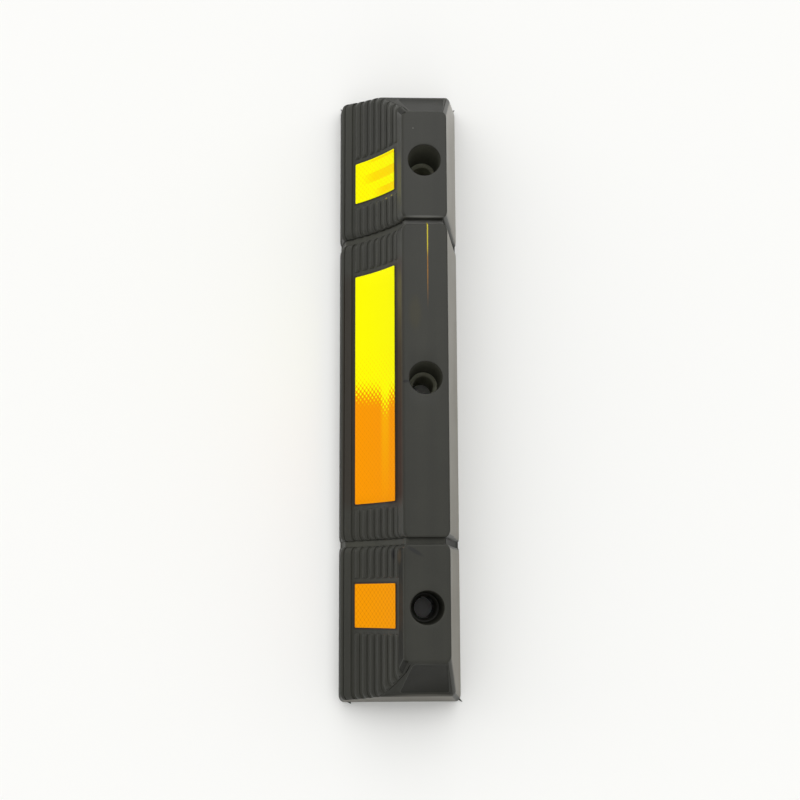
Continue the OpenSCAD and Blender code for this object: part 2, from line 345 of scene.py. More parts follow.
def rib_ends(start, way):
    """Cuts over which the ribs rise from the floor of the panel, with round ends."""
    rises = [math.sqrt(1 - (1 - share) ** 2) for share in fade_steps]
    return [cut(start + way * rib_fade * share, ribs=rise) for share, rise in zip(fade_steps, rises)]


# The plain places between the features only keep the faces short.
groove_steps = [0.4, 0.9, groove_width - 0.9, groove_width - 0.4]
right_cuts = [cut(place, ribs=0) for place in (30, 60, 90, middle_tape_end)]
right_cuts += rib_ends(middle_tape_end + tape_margin, 1)
right_cuts += [cut(127), cut(133.5)]
right_cuts += [cut(middle_half - step, distance=step) for step in reversed(end_steps)]
right_cuts += [cut(middle_half + step, groove=True) for step in groove_steps]
right_cuts += [cut(middle_half + groove_width + step, distance=step) for step in end_steps]
right_cuts += [cut(166), cut(173)]
right_cuts += list(reversed(rib_ends(end_tape_start - tape_margin, -1)))
right_cuts += [cut(place, ribs=0) for place in (end_tape_start, 201, 215, end_tape_end)]
right_cuts += rib_ends(end_tape_end + tape_margin, 1)
right_cuts += [cut(0, lean=share) for share in spread(0, 1, 8)]
right_cuts += [cut(0, distance=step, lean=1) for step in reversed(end_steps[:-1])]
cuts = [(-1, c) for c in reversed(right_cuts)] + [(1, cut(0, ribs=0))] + [(1, c) for c in right_cuts]
print(len(cuts), "cuts along the stop")


# %% Place the points of a cut
def floor_inset(z):
    """How far a groove's floor is drawn in behind the front and back at a height: least at the ground."""
    return groove_foot_inset + (groove_inset - groove_foot_inset) * (z / height) ** 0.35


def points_of(way, c):
    """The points of one cut of the block, in millimetres."""
    if c["groove"]:
        points = outline(height - groove_depth, 0, 0)
        return [(way * c["place"], y + side * floor_inset(z), z) for y, z, side, roll in points]
    at_end = c["lean"] is not None
    steepness = math.sin(math.atan(chamfer_slope)) if at_end else 1
    dip, gap = roll_over(c["distance"], steepness)
    placed = []
    for y, z, side, roll in outline(ribs=c["ribs"]):
        low = z - roll * dip
        short = c["distance"] + (gap - c["distance"]) * roll
        if at_end:
            x = lean_start + (end_at(low) - short - lean_start) * c["lean"]
            drawn = draw_in(c["distance"])
        else:
            x = c["place"] + (c["distance"] - short) * (1 if c["place"] < middle_half + 1 else -1)
            drawn = draw_in(c["distance"], depth=floor_inset(z))
        placed.append((way * x, y + side * drawn, low))
    return placed


# %% [markdown]
# ## The rubber block
#
# The block is laid out like a sheet of clay over a form: a flat grid is added, with one line of
# points for each cut and one point for each place in the outline, and every point is then moved to
# its place. Extruding a single outline would be simpler, but then the ribs couldn't end in round
# ends, as they do on the real one.

# %% Helpers for edit mode
def only(piece):
    """Leaves edit mode and makes a piece the only one that is selected and active."""
    if bpy.context.object and bpy.context.object.mode == "EDIT":
        bpy.ops.object.mode_set(mode="OBJECT")
    bpy.ops.object.select_all(action="DESELECT")
    piece.select_set(True)
    bpy.context.view_layer.objects.active = piece


def pick(piece, test):
    """Goes into edit mode with only those points of a piece selected that pass a test."""
    only(piece)
    bpy.ops.object.mode_set(mode="EDIT")
    bpy.ops.mesh.select_mode(type="VERT")
    bpy.ops.mesh.select_all(action="DESELECT")
    bpy.ops.object.mode_set(mode="OBJECT")
    for vertex in piece.data.vertices:
        vertex.select = test(vertex)
    bpy.ops.object.mode_set(mode="EDIT")


def edit_all():
    """Goes into edit mode with all of the active piece selected."""
    bpy.ops.object.mode_set(mode="EDIT")
    bpy.ops.mesh.select_all(action="SELECT")


def face_outward():
    """Turns all faces of the edited piece outward and leaves edit mode."""
    bpy.ops.mesh.select_all(action="SELECT")
    bpy.ops.mesh.normals_make_consistent(inside=False)
    bpy.ops.object.mode_set(mode="OBJECT")


def line_of(place, count):
    """Which of the count lines of a grid of size 1 a place lies on."""
    return round((place + 0.5) * (count - 1))


def triangles(piece):
    """How many triangles a piece has."""
    return sum(len(face.vertices) - 2 for face in piece.data.polygons)


# %% Lay the sheet over the form
bpy.ops.mesh.primitive_grid_add(x_subdivisions=len(cuts) - 1, y_subdivisions=row_count - 1, size=1)
block = bpy.context.object
block.name = "rubber_block"
block.data.name = "rubber_block"
sheet = [points_of(way, c) for way, c in cuts]
for vertex in block.data.vertices:
    vertex.co = Vector(sheet[line_of(vertex.co.x, len(cuts))][line_of(vertex.co.y, row_count)]) * MM
print(f"sheet of {len(block.data.vertices)} points")

# %% [markdown]
# The sheet is closed by hand: the two foot lines are bridged to make the underside, and the chamfer
# and the end wall at each end are filled between their outlines.

# %% Close the underside and the ends
foot_lines = {v.index for v in block.data.vertices if abs(v.co.z) < 1e-7}
pick(block, lambda v: v.index in foot_lines)
bpy.ops.mesh.bridge_edge_loops()
for way in (-1, 1):
    rim = set()
    for row in range(front_kink, back_kink + 1):
        place = Vector(sheet[0 if way < 0 else -1][row]) * MM
        rim.add(tuple(round(c, 6) for c in place))
    pick(block, lambda v: tuple(round(c, 6) for c in v.co) in rim)
    bpy.ops.mesh.edge_face_add()
bpy.ops.mesh.select_all(action="DESELECT")
bpy.ops.mesh.select_mode(type="EDGE")
bpy.ops.mesh.select_non_manifold(extend=False, use_wire=False, use_boundary=True,
                                 use_multi_face=False, use_non_contiguous=False, use_verts=False)
bpy.ops.mesh.fill_holes(sides=0)
face_outward()
print(f"closed block: {triangles(block)} triangles")

# %% [markdown]
# ## The anchor holes
#
# A ground anchor drops through each hole until its washer rests on a seat deep inside. The hole's
# shape is easiest to make inside out: a plug is drawn up from a disc by extruding and scaling, and
# a Boolean modifier takes it out of the block. The plug spreads at the top, so the mouth is round.

# %% Cut the anchor holes
bore_radius = 10
lead_in = 2
counterbore_foot_radius = 13.5
mouth_radius = 15.17
mouth_round = 1.1
past = 2

# Each step of the plug is (height, radius): the bore and its lead-in, the seat, the counterbore and the
# round mouth. Every tool goes past the face that it cuts.
plug_steps = [(seat_z - lead_in, bore_radius), (seat_z - 0.15, bore_radius + 1.9),
              (seat_z, bore_radius + 2.15), (seat_z, counterbore_foot_radius - 0.2),
              (seat_z + 0.25, counterbore_foot_radius), (height - mouth_round, mouth_radius - 0.02)]
for turn in spread(0, math.pi / 2, 6)[1:]:
    plug_steps.append((height - mouth_round * (1 - math.sin(turn)),
                       mouth_radius + mouth_round * (1 - math.cos(turn))))
plug_steps.append((height + past, mouth_radius + mouth_round))


def modify(piece, kind, **settings):
    """Adds a modifier with its settings to a piece, and applies it."""
    only(piece)
    modifier = piece.modifiers.new(kind, kind)
    for name, value in settings.items():
        setattr(modifier, name, value)
    bpy.ops.object.modifier_apply(modifier=modifier.name)


def cut_out(piece, tool):
    """Takes a tool's shape out of a piece."""
    modify(piece, "BOOLEAN", operation="DIFFERENCE", solver="EXACT", object=tool)
    bpy.data.objects.remove(tool)


def draw_up(rise, scale, middle):
    """Extrudes what is selected upwards, and scales its top round a middle."""
    bpy.ops.mesh.extrude_region_move(TRANSFORM_OT_translate={"value": (0, 0, rise)})
    bpy.ops.transform.resize(value=(scale, scale, 1), center_override=middle)


for x in (-hole_x, 0, hole_x):
    bpy.ops.mesh.primitive_circle_add(vertices=96, radius=bore_radius * MM, fill_type="NGON",
                                      location=(x * MM, hole_y * MM, -past * MM))
    plug = bpy.context.object
    bpy.ops.object.transform_apply(location=True)
    edit_all()
    level, radius = -past, bore_radius
    for next_level, next_radius in plug_steps:
        middle = (x * MM, hole_y * MM, next_level * MM)
        draw_up((next_level - level) * MM, next_radius / radius, middle)
        level, radius = next_level, next_radius
    face_outward()
    cut_out(block, plug)
print(f"with its holes: {triangles(block)} triangles")

# %% [markdown]
# ## The cored underside
#
# Such a block isn't solid: pockets under it keep its walls even, so that the rubber cures evenly.
# Each pocket is a box, cut finely enough for its roof to be moved parallel to the sloping face and its
# back wall parallel to the block's back, and it is then taken out of the underside.

# %% Cut the pockets
# Each roof is named by its distance under the top.
front_wall = 18
pocket_front_wall = 37
pocket_back_wall = 23
hole_wall = 18
cross_wall = 11
groove_wall = 9
end_wall = 21
middle_roof = 38
end_roof = 58

pocket_front_y = -half_depth + pocket_front_wall
pocket_back_y = half_depth - pocket_back_wall
pocket_depth = pocket_back_y - pocket_front_y
roof_radius = face_radius + front_wall


def roof_at(y, level):
    """The height of a pocket's roof at a depth: parallel to the sloping face, up to a level."""
    return min(level, face_centre.y - math.sqrt(roof_radius ** 2 - (y - face_centre.x) ** 2))


def cut_pocket(start, end, level):
    """Cuts a pocket between two places along the stop, up to a level."""
    bpy.ops.mesh.primitive_cube_add(
        size=1, location=((start + end) / 2 * MM, (pocket_front_y + pocket_back_y) / 2 * MM, 0),
        scale=((end - start) * MM, pocket_depth * MM, 2 * past * MM))
    tool = bpy.context.object
    bpy.ops.object.transform_apply(location=True, rotation=True, scale=True)
    edit_all()
    bpy.ops.mesh.subdivide(number_cuts=11)
    bpy.ops.object.mode_set(mode="OBJECT")
    for vertex in tool.data.vertices:
        y = vertex.co.y / MM
        rise = (vertex.co.z / MM + past) / (2 * past)
        vertex.co.z = (-past + rise * (roof_at(y, level) + past)) * MM
        lean = back_lean * max(0, vertex.co.z / MM) * (y - pocket_front_y) / pocket_depth
        vertex.co.y = (y - lean) * MM
    cut_out(block, tool)


hole_block = counterbore_foot_radius + hole_wall
last_pocket_end = middle_half - groove_wall
pocket_width = (last_pocket_end - hole_block - cross_wall) / 2
# Each pocket of one half is (start, end, height of its roof).
pockets = [(hole_block, hole_block + pocket_width, height - middle_roof),
           (last_pocket_end - pocket_width, last_pocket_end, height - middle_roof),
           (hole_x + hole_block, half_length - end_wall, height - end_roof)]
for way in (-1, 1):
    for start, end, level in pockets:
        cut_pocket(*sorted((way * start, way * end)), level)
print(f"with its pockets: {triangles(block)} triangles")

# %% [markdown]
# ## The sunk panels, the hip lines and the flash
#
# Each end chamfer holds a shallow panel, sunk a third of a millimetre, with a raised border round it.
# Its tool is a plane with four set corners. They are rounded by a vertex bevel, and the plane is drawn
# up in steps that widen, so that the panel's walls slope. Beside each hip, where the chamfer meets the
# rounded front, runs a thin crease. At the corners of the foot, thin flash still stands on the rubber
# where the mould closed.

# %% Cut the panels into the chamfers
# Each corner is (place across the stop, distance down the chamfer), each step is (rise, widening).
panel_corners = [(9, 4.5), (40, 4.5), (-2, 51), (44, 51)]
panel_corner_round = 3
panel_depth = 0.35
panel_steps = [(0.1, 1.006), (0.3, 1.02), (2.0, 1.03)]
chamfer_run = 1 / math.hypot(1, chamfer_slope)
chamfer_drop = chamfer_slope * chamfer_run


def cut_panel(way):
    """Cuts the shallow panel into the chamfer at one end."""
    bpy.ops.mesh.primitive_plane_add(size=1)
    tool = bpy.context.object
    for vertex, corner in zip(tool.data.vertices, panel_corners):
        vertex.co = Vector((corner[0], corner[1], 0)) * MM
    middle = sum((vertex.co for vertex in tool.data.vertices), Vector()) / len(panel_corners)
    edit_all()
    bpy.ops.mesh.bevel(offset=panel_corner_round * MM, segments=5, affect="VERTICES")
    bpy.ops.mesh.select_all(action="SELECT")
    for rise, widening in panel_steps:
        middle.z += rise * MM
        draw_up(rise * MM, widening, middle)
    bpy.ops.object.mode_set(mode="OBJECT")
    across = Vector((0, 1, 0))
    down = Vector((way * chamfer_run, 0, -chamfer_drop))
    out = Vector((way * chamfer_drop, 0, chamfer_run))
    origin = (Vector((way * chamfer_top_x, 0, height)) - out * panel_depth) * MM
    for vertex in tool.data.vertices:
        vertex.co = origin + across * vertex.co.x + down * vertex.co.y + out * vertex.co.z
    edit_all()
    face_outward()
    cut_out(block, tool)


for way in (-1, 1):
    cut_panel(way)
print(f"with its panels: {triangles(block)} triangles")

# %% Cut the line beside each hip
line_half_width = 0.9
line_depth = 0.9
line_lift = 0.3
line_from_hip = 1.3


def front_at(z):
    """Where the front stands at a height, on the lip or on the hollow face, in millimetres."""
    if z > lip_foot.y:
        return lip_foot.x + (top_front_y - lip_foot.x) * (z - lip_foot.y) / (height - lip_foot.y)
    return face_centre.x + math.sqrt(face_radius ** 2 - (face_centre.y - z) ** 2)


# Each point of the line is (place across the stop, height).
line_heights = spread(height - 0.6, chamfer_foot_z + 2, 16)
hip_line = [(front_at(z) + round_depth + line_from_hip, z) for z in line_heights]
last_step = len(hip_line) - 1


def cut_hip_line(way):
    """Cuts the thin crease that runs down one chamfer beside its hip, with a tapered start and end."""
    bpy.ops.mesh.primitive_grid_add(x_subdivisions=last_step, y_subdivisions=2, size=1)
    tool = bpy.context.object
    out = Vector((way * chamfer_drop, 0, chamfer_run))
    for vertex in tool.data.vertices:
        step = line_of(vertex.co.x, len(hip_line))
        side = round(vertex.co.y * 2)
        y, z = hip_line[step]
        taper = min(1, step / 2, (last_step - step) / 3)
        lift = line_lift if side else -line_depth * taper
        vertex.co = (Vector((way * end_at(z), y + side * line_half_width, z)) + out * lift) * MM
    edit_all()
    bpy.ops.mesh.extrude_region_move(TRANSFORM_OT_translate={"value": out * 3 * MM})
    face_outward()
    cut_out(block, tool)


for way in (-1, 1):
    cut_hip_line(way)
print(f"with the lines beside its hips: {triangles(block)} triangles")

# %% Add the flash
flash_height = 0.7
# Each bit of flash is (x, y, turn in degrees, length, width).
flash_places = [(297.5, 57, 48, 9, 3.4), (-297.5, 57, 140, 6, 3),
                (-297.5, -57, 222, 6, 2.6), (299, -49.5, -80, 4, 6)]
flash = []
for x, y, turn, length, width in flash_places:
    bpy.ops.mesh.primitive_cube_add(size=1, location=(x * MM, y * MM, flash_height / 2 * MM),
                                    scale=(length * MM, width * MM, flash_height * MM))
    bit = bpy.context.object
    tip = {v.index for v in bit.data.vertices if v.co.x > 0}
    pick(bit, lambda v: v.index in tip)
    bpy.ops.transform.resize(value=(1, 0.15, 0.4), center_override=(x * MM, y * MM, 0))
    bpy.ops.object.mode_set(mode="OBJECT")
    bit.rotation_euler.z = math.radians(turn)
    bpy.ops.object.transform_apply(location=True, rotation=True, scale=True)
    flash.append(bit)
only(block)
for bit in flash:
    bit.select_set(True)
bpy.ops.object.join()
print(len(flash), "bits of flash")

# %% Finish the block
smooth_angle = math.radians(40)
pick(block, lambda v: True)
bpy.ops.mesh.dissolve_degenerate(threshold=0.01 * MM)
bpy.ops.object.mode_set(mode="OBJECT")
bpy.ops.object.shade_smooth_by_angle(angle=smooth_angle)
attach(block, "root")
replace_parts(block, "rubber_body")

# %% [markdown]
# ## The reflective tape
#
# Each strip is a thin prismatic film on a layer of adhesive, laid on the floor of the rib panel. The
# film is a flat grid with its four corners nipped round. It is bent onto the face, then given its
# thickness by Solidify and its soft edge by Bevel. Its UV map keeps the flat sheet in decimetres, so
# that the prisms aren't stretched by the bend.

# %% Make the three films
tape_side_gap = 4.7
tape_start = panel_start + tape_side_gap
tape_width = 60
film_thickness = 0.5
adhesive_thickness = 0.3
film_lift = film_thickness + adhesive_thickness
nip = 1.2
film_edge_round = 0.12
edge_rows = [0, 0.2, 0.45, 0.8, 1.2]
tape_spans = [(-middle_tape_end, middle_tape_end), (-end_tape_end, -end_tape_start),
              (end_tape_start, end_tape_end)]
film_rows = [*edge_rows, *spread(3, tape_width - 3, 26)]
film_rows += [tape_width - row for row in reversed(edge_rows)]
films = []


def make_film(name, start, end):
    """One strip of film between two places along the stop."""
    bpy.ops.mesh.primitive_grid_add(x_subdivisions=24, y_subdivisions=len(film_rows) - 1, size=1)
    film = bpy.context.object
    film.name = name
    flat = {}
    for vertex in film.data.vertices:
        row = film_rows[line_of(vertex.co.y, len(film_rows))]
        half = (end - start) / 2 - draw_in(min(row, tape_width - row), nip, nip)
        x = (start + end) / 2 + 2 * vertex.co.x * half
        y, z = face_point(tape_start + row, rib_height - film_lift)
        flat[vertex.index] = (x / DECIMETRE, (tape_start + row) / DECIMETRE)
        vertex.co = Vector((x, y, z)) * MM
    for loop in film.data.loops:
        film.data.uv_layers.active.data[loop.index].uv = flat[loop.vertex_index]
    modify(film, "SOLIDIFY", thickness=film_thickness * MM, offset=-1, material_offset_rim=1)
    modify(film, "BEVEL", width=film_edge_round * MM, segments=2, limit_method="ANGLE",
           angle_limit=math.radians(50))
    bpy.ops.object.shade_smooth_by_angle(angle=smooth_angle)
    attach(film, "root")
    films.append(film)
    return film


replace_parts(make_film("film_middle", -middle_tape_end, middle_tape_end), "tape_film_middle")
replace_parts(make_film("film_left", -end_tape_end, -end_tape_start), "tape_film_left")
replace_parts(make_film("film_right", end_tape_start, end_tape_end), "tape_film_right")
print("films of", [triangles(film) for film in films], "triangles")

# %% [markdown]
# ## Building materials from nodes
#
# Every finish here is a small net of nodes: places on the piece go in, and colour, roughness and
# bump come out. Most helpers add a node or a few and return the output, so that a finish reads
# like a recipe.

# %% Helpers for nodes
def new_material(name, gloss):
    """A material, its tree and its shader, with the level of its gloss set on the shader itself."""
    material = bpy.data.materials.new(name)
    material.use_nodes = True
    shader = material.node_tree.nodes["Principled BSDF"]
    shader.inputs["Specular IOR Level"].default_value = gloss
    return material, material.node_tree, shader


def coat(tree, shader, colour, roughness):
    """Gives a shader its colour and its roughness."""
    feed(tree, shader.inputs["Base Color"], colour)
    feed(tree, shader.inputs["Roughness"], roughness)


def places_on(tree, kind="Object"):
    """The place of each point: on the piece, on its flat map or in the sky."""
    return tree.nodes.new("ShaderNodeTexCoord").outputs[kind]


def feed(tree, socket, value):
    """Links a node's output to a socket, or sets the socket to a number or a colour."""
    if isinstance(value, bpy.types.NodeSocket):
        tree.links.new(value, socket)
    else:
        socket.default_value = value


def calculate(tree, operation, *values):
    """One operation on one or two values, done for every point of the surface."""
    node = tree.nodes.new("ShaderNodeMath")
    node.operation = operation
    for socket, value in zip(node.inputs, values):
        feed(tree, socket, value)
    return node.outputs[0]


def times(tree, first, *others):
    """The product of some values."""
    for other in others:
        first = calculate(tree, "MULTIPLY", first, other)
    return first


def plus(tree, first, *others):
    """The sum of some values."""
    for other in others:
        first = calculate(tree, "ADD", first, other)
    return first


def minus(tree, first, second):
    """The first value less the second."""
    return calculate(tree, "SUBTRACT", first, second)


def away(tree, value, middle):
    """How far a value is from a middle, on either side of it."""
    return calculate(tree, "ABSOLUTE", minus(tree, value, middle))


def fade(tree, value, start, end):
    """0 where a value is at its start and 1 at its end, with a smooth change between them."""
    node = tree.nodes.new("ShaderNodeMapRange")
    node.interpolation_type = "SMOOTHSTEP"
    for socket, item in zip(node.inputs, (value, start, end)):
        feed(tree, socket, item)
    return node.outputs[0]


def between(tree, value, start, full, last, end):
    """0 up to start, 1 from full to last and 0 again from end, all in millimetres."""
    return times(tree, fade(tree, value, start * MM, full * MM), fade(tree, value, end * MM, last * MM))


def mix(tree, share, first, second):
    """A share from 0 to 1 of the second colour in the first one."""
    node = tree.nodes.new("ShaderNodeMix")
    node.data_type = "RGBA"
    for index, item in ((0, share), (6, first), (7, second)):
        feed(tree, node.inputs[index], item)
    return node.outputs[2]


def noise(tree, places, scale, detail=2.0):
    """Clouds from 0 to 1, with scale clouds to the metre."""
    node = tree.nodes.new("ShaderNodeTexNoise")
    for name, item in (("Vector", places), ("Scale", scale), ("Detail", detail)):
        feed(tree, node.inputs[name], item)
    return node.outputs[0]


def stretch(tree, places, scale, turn=(0, 0, 0), centre=(0, 0, 0)):
    """Places moved to a centre, turned and stretched."""
    node = tree.nodes.new("ShaderNodeMapping")
    node.vector_type = "TEXTURE"
    for name, item in (("Vector", places), ("Location", centre), ("Rotation", turn), ("Scale", scale)):
        feed(tree, node.inputs[name], item)
    return node.outputs[0]


def apart(tree, places):
    """The X, Y and Z of each place."""
    node = tree.nodes.new("ShaderNodeSeparateXYZ")
    feed(tree, node.inputs[0], places)
    return node.outputs


def blot(tree, places, centre, reach, turn=0.0):
    """1 inside an oval round a centre, fading to 0 at its rim, with its sizes in millimetres."""
    local = stretch(tree, places, Vector(reach) * MM, (0, 0, math.radians(turn)), Vector(centre) * MM)
    node = tree.nodes.new("ShaderNodeVectorMath")
    node.operation = "LENGTH"
    feed(tree, node.inputs[0], local)
    return fade(tree, node.outputs["Value"], 1.0, 0.35)


def bump(tree, shader, relief, distance, strength):
    """Gives a shader a bump from a relief between 0 and 1, distance millimetres deep."""
    node = tree.nodes.new("ShaderNodeBump")
    for name, item in (("Strength", strength), ("Distance", distance * MM), ("Height", relief)):
        feed(tree, node.inputs[name], item)
    tree.links.new(node.outputs[0], shader.inputs["Normal"])


# %% [markdown]
# ## The rubber
#
# Moulded black rubber is never quite black. It is a dark warm grey with a satin skin, cloudy where
# the mould was released unevenly, with fine grain and long faint streaks. The back and the end walls
# are smoother, and the chamfers and the toe are duller. The duller finish is darker too, and on the
# toe and on parts of the lip that darkness is painted shade. The grooves and two of the holes are
# painted lighter, as painted light in their depths. So one recipe makes seven finishes. The stop has
# also been handled: it has a scuff, a stain and a smear beside one groove, a thin streak of yellow
# paint on the top, dust on its lip, and a few specks. Painted light and shade are laid on as marks
# too: painted highlights along a groove edge and a chamfer foot, painted shade in a nick in the edge
# and along the edges of each strip of tape, and the tape's glow as painted light beside the long tape.

# %% Mix the rubber
def rubber_colour(tree, places, tone):
    """The rubber's own colour, with its clouds and its grain, which the skin uses too."""
    dark = (tone * 0.8, tone * 0.81, tone * 0.62, 1)
    light = (tone * 1.22, tone * 1.22, tone * 0.92, 1)
    clouds = noise(tree, places, 16, 3)
    streaks = noise(tree, stretch(tree, places, (0.5, 0.012, 0.02)), 1, 3)
    grain = noise(tree, places, 900, 2)
    share = plus(tree, times(tree, clouds, 0.5), times(tree, streaks, 0.3), times(tree, grain, 0.25))
    return mix(tree, fade(tree, share, 0.3, 0.75), dark, light), clouds, grain


# %% Mark the rubber
black = (0.006, 0.006, 0.006, 1)
# A pale colour for dust on the speck, and for painted highlights on edges.
pale_dust_and_highlight = (0.22, 0.22, 0.2, 1)
yellow_drop = (0.35, 0.28, 0.02, 1)
# Each mark is (centre, reach, turn in degrees, colour, strength), and sizes are in millimetres.
# Some marks are painted light and shade: the pale highlights on a groove edge and a chamfer foot, the
# lighter groove floor and the black nick.
marks = {"scuff": ((161.5, -8, 78), (7, 3, 9), 0, black, 0.85),
         "brown stain": ((163.5, -2.7, 88), (9, 3.6, 9), 0, (0.06, 0.042, 0.022, 1), 0.7),
         "smear": ((159.5, 11, 100), (11, 2.6, 4), 59, (0.012, 0.012, 0.012, 1), 0.8),
         # The nick isn't modelled: a black spot of painted shade stands for it.
         "painted shade in a nick in the edge": ((3.4, 3.5, 100), (1.8, 5.2, 3), 0, black, 1),
         "brown cast": ((-61.7, 12.3, 100), (22, 8, 3), 0, (0.05, 0.042, 0.012, 1), 0.3),
         "pale speck": ((-241.6, 11.2, 100), (0.7, 0.7, 1), 0, pale_dust_and_highlight, 0.7),
         # A pale painted highlight along the rolled top edge of the groove nearer the far end.
         "painted highlight on the groove edge": ((-154.2, 21.5, 99.5), (1.5, 26, 3), 0, pale_dust_and_highlight, 0.4),
         # The floor of that groove is painted lighter: painted light in the groove.
         "painted light in the groove": ((-150.5, 21.5, 93), (3.4, 32, 5), 0, (0.14, 0.14, 0.13, 1), 0.9),
         # A pale painted highlight along the rounded foot of the near chamfer.
         "painted highlight on the chamfer foot": ((291, 22, 54), (4, 40, 5), 0, (0.1, 0.095, 0.08, 1), 0.7),
         "paint drop": ((-182.7, -13.9, 67.5), (1.5, 1.5, 2.2), 0, yellow_drop, 0.9),
         "second paint drop": ((-183.3, -9.2, 74.8), (1.5, 1.5, 2.2), 0, yellow_drop, 0.9)}


def add_marks(tree, places, colour):
    """The marks of use and the marks of painted light and shade, each laid over the colour."""
    for centre, reach, turn, shade, strength in marks.values():
        share = times(tree, blot(tree, places, centre, reach, turn), strength)
        colour = mix(tree, share, colour, shade)
    return colour


# %% Draw the streak of paint
streak_y = 24.3
streak_half_widths = (0.62 * MM, 0.35 * MM)
yellow_paint = (0.55, 0.45, 0.01, 1)
rusty_paint = (0.28, 0.12, 0.01, 1)


def add_streak(tree, places, colour):
    """A thin tapered streak along the flat top, yellow where it starts and rusty where it runs out."""
    x, y, z = apart(tree, places)
    half_width = tree.nodes.new("ShaderNodeMapRange")
    for socket, item in zip(half_width.inputs, (x, -148 * MM, -66 * MM, *streak_half_widths)):
        feed(tree, socket, item)
    rough_edge = plus(tree, 0.6, noise(tree, places, 260, 2))
    off = calculate(tree, "DIVIDE", away(tree, y, streak_y * MM), half_width.outputs[0])
    share = fade(tree, times(tree, off, rough_edge), 1.25, 0.75)
    on_top = fade(tree, z, 92 * MM, 93 * MM)
    share = times(tree, share, on_top, between(tree, x, -151, -149, -104, -62))
    paint = mix(tree, fade(tree, x, -130 * MM, -112 * MM), yellow_paint, rusty_paint)
    return mix(tree, share, colour, paint)


# %% Paint the tape's glow on the rubber beside it
def beside_tape(tree, places):
    """Two bands beside the long tape, from 0 to 1: on the lip above it, and on the land below it."""
    x, y, z = apart(tree, places)
    along = fade(tree, calculate(tree, "ABSOLUTE", x), 122 * MM, 106 * MM)
    upper = between(tree, y, -15, -11, -2, 2)
    lower = between(tree, y, -57, -54, -47, -43)
    return times(tree, along, upper), times(tree, along, lower)


def add_painted_tape_glow(tree, places, colour):
    """Painted reflected light: the rubber beside the long tape is tinged brown by the tape's glow."""
    upper, lower = beside_tape(tree, places)
    # Both brown bands are painted reflected light from the tape.
    colour = mix(tree, times(tree, upper, 0.85), colour, (0.025, 0.006, 0.001, 1))
    return mix(tree, times(tree, lower, 0.6), colour, (0.02, 0.012, 0.005, 1))


def dust_on_lip(tree, places):
    """How much dust has made the lip above the long tape dull: more towards its right half."""
    upper, lower = beside_tape(tree, places)
    return times(tree, upper, fade(tree, apart(tree, places)[0], -90 * MM, -10 * MM))


# %% Darken the rubber round each tape
shade_start = 0.8
shade_end = 2.6
# The colour of the painted shade in the gap along each tape's edges.
tape_edge_shade = (0.008, 0.005, 0.003, 1)


def near_span(tree, value, low, high):
    """1 between two places and just past them, fading to 0 beyond, all in millimetres."""
    half = (high - low) / 2
    off = away(tree, value, (low + high) / 2 * MM)
    return fade(tree, off, (half + shade_end) * MM, (half + shade_start) * MM)


def add_tape_shade(tree, places, colour):
    """A dark line of painted shade lies along the edges of each strip of tape."""
    x, y, z = apart(tree, places)
    low_y = face_point(tape_start, rib_height).x
    high_y = face_point(tape_start + tape_width, rib_height).x
    across = near_span(tree, y, low_y, high_y)
    on_face = fade(tree, y, (lip_foot.x + 1) * MM, lip_foot.x * MM)
    for start, end in tape_spans:
        share = times(tree, near_span(tree, x, start, end), across, on_face)
        colour = mix(tree, times(tree, share, 0.85), colour, tape_edge_shade)
    return colour


# %% Make the finishes
def make_rubber(name, tone, roughness, gloss, grain_depth, worn=0.0):
    """One finish of the rubber. Where it is worn, it is rougher towards the right end."""
    material, tree, shader = new_material(name, gloss)
    places = places_on(tree)
    colour, clouds, grain = rubber_colour(tree, places, tone)
    for add in (add_painted_tape_glow, add_tape_shade, add_marks, add_streak):
        colour = add(tree, places, colour)
    wear = times(tree, apart(tree, places)[0], worn)
    dust = times(tree, dust_on_lip(tree, places), 0.3)
    rough = plus(tree, roughness - 0.06, times(tree, clouds, 0.12), wear, dust)
    coat(tree, shader, colour, rough)
    skin = plus(tree, grain, times(tree, noise(tree, places, 120, 3), 1.5))
    bump(tree, shader, skin, grain_depth, 0.35)
    return material


# Each finish is (tone, roughness, gloss, depth of the grain in millimetres, wear).
finishes = {"satin": (0.027, 0.43, 0.31, 0.16, 0.2),
            "smooth": (0.036, 0.37, 0.45, 0.08, 0.3),
            "border": (0.022, 0.5, 0.14, 0.16),
            # The matt finish is duller and darker: a duller skin on the chamfer panels, and painted shade
            # on the toe, the lip and the back of the grooves.
            "matt": (0.014, 0.54, 0.12, 0.2),
            # The hole and seat finishes are much lighter rubber: painted light deep inside the holes.
            "hole": (0.08, 0.5, 0.3, 0.16),
            "painted_light_seat": (0.4, 0.6, 0.3, 0.1),
            # The groove finish is lighter rubber: painted light in the grooves.
            "painted_light_groove": (0.045, 0.5, 0.3, 0.16)}
order = list(finishes)
for name in order:
    block.data.materials.append(make_rubber("rubber_" + name, *finishes[name]))
smooth_shader = block.data.materials[order.index("smooth")].node_tree.nodes["Principled BSDF"]
smooth_shader.inputs["Sheen Weight"].default_value = 0.12
smooth_shader.inputs["Sheen Roughness"].default_value = 0.4
smooth_shader.inputs["Sheen Tint"].default_value = (1.0, 0.86, 0.62, 1)


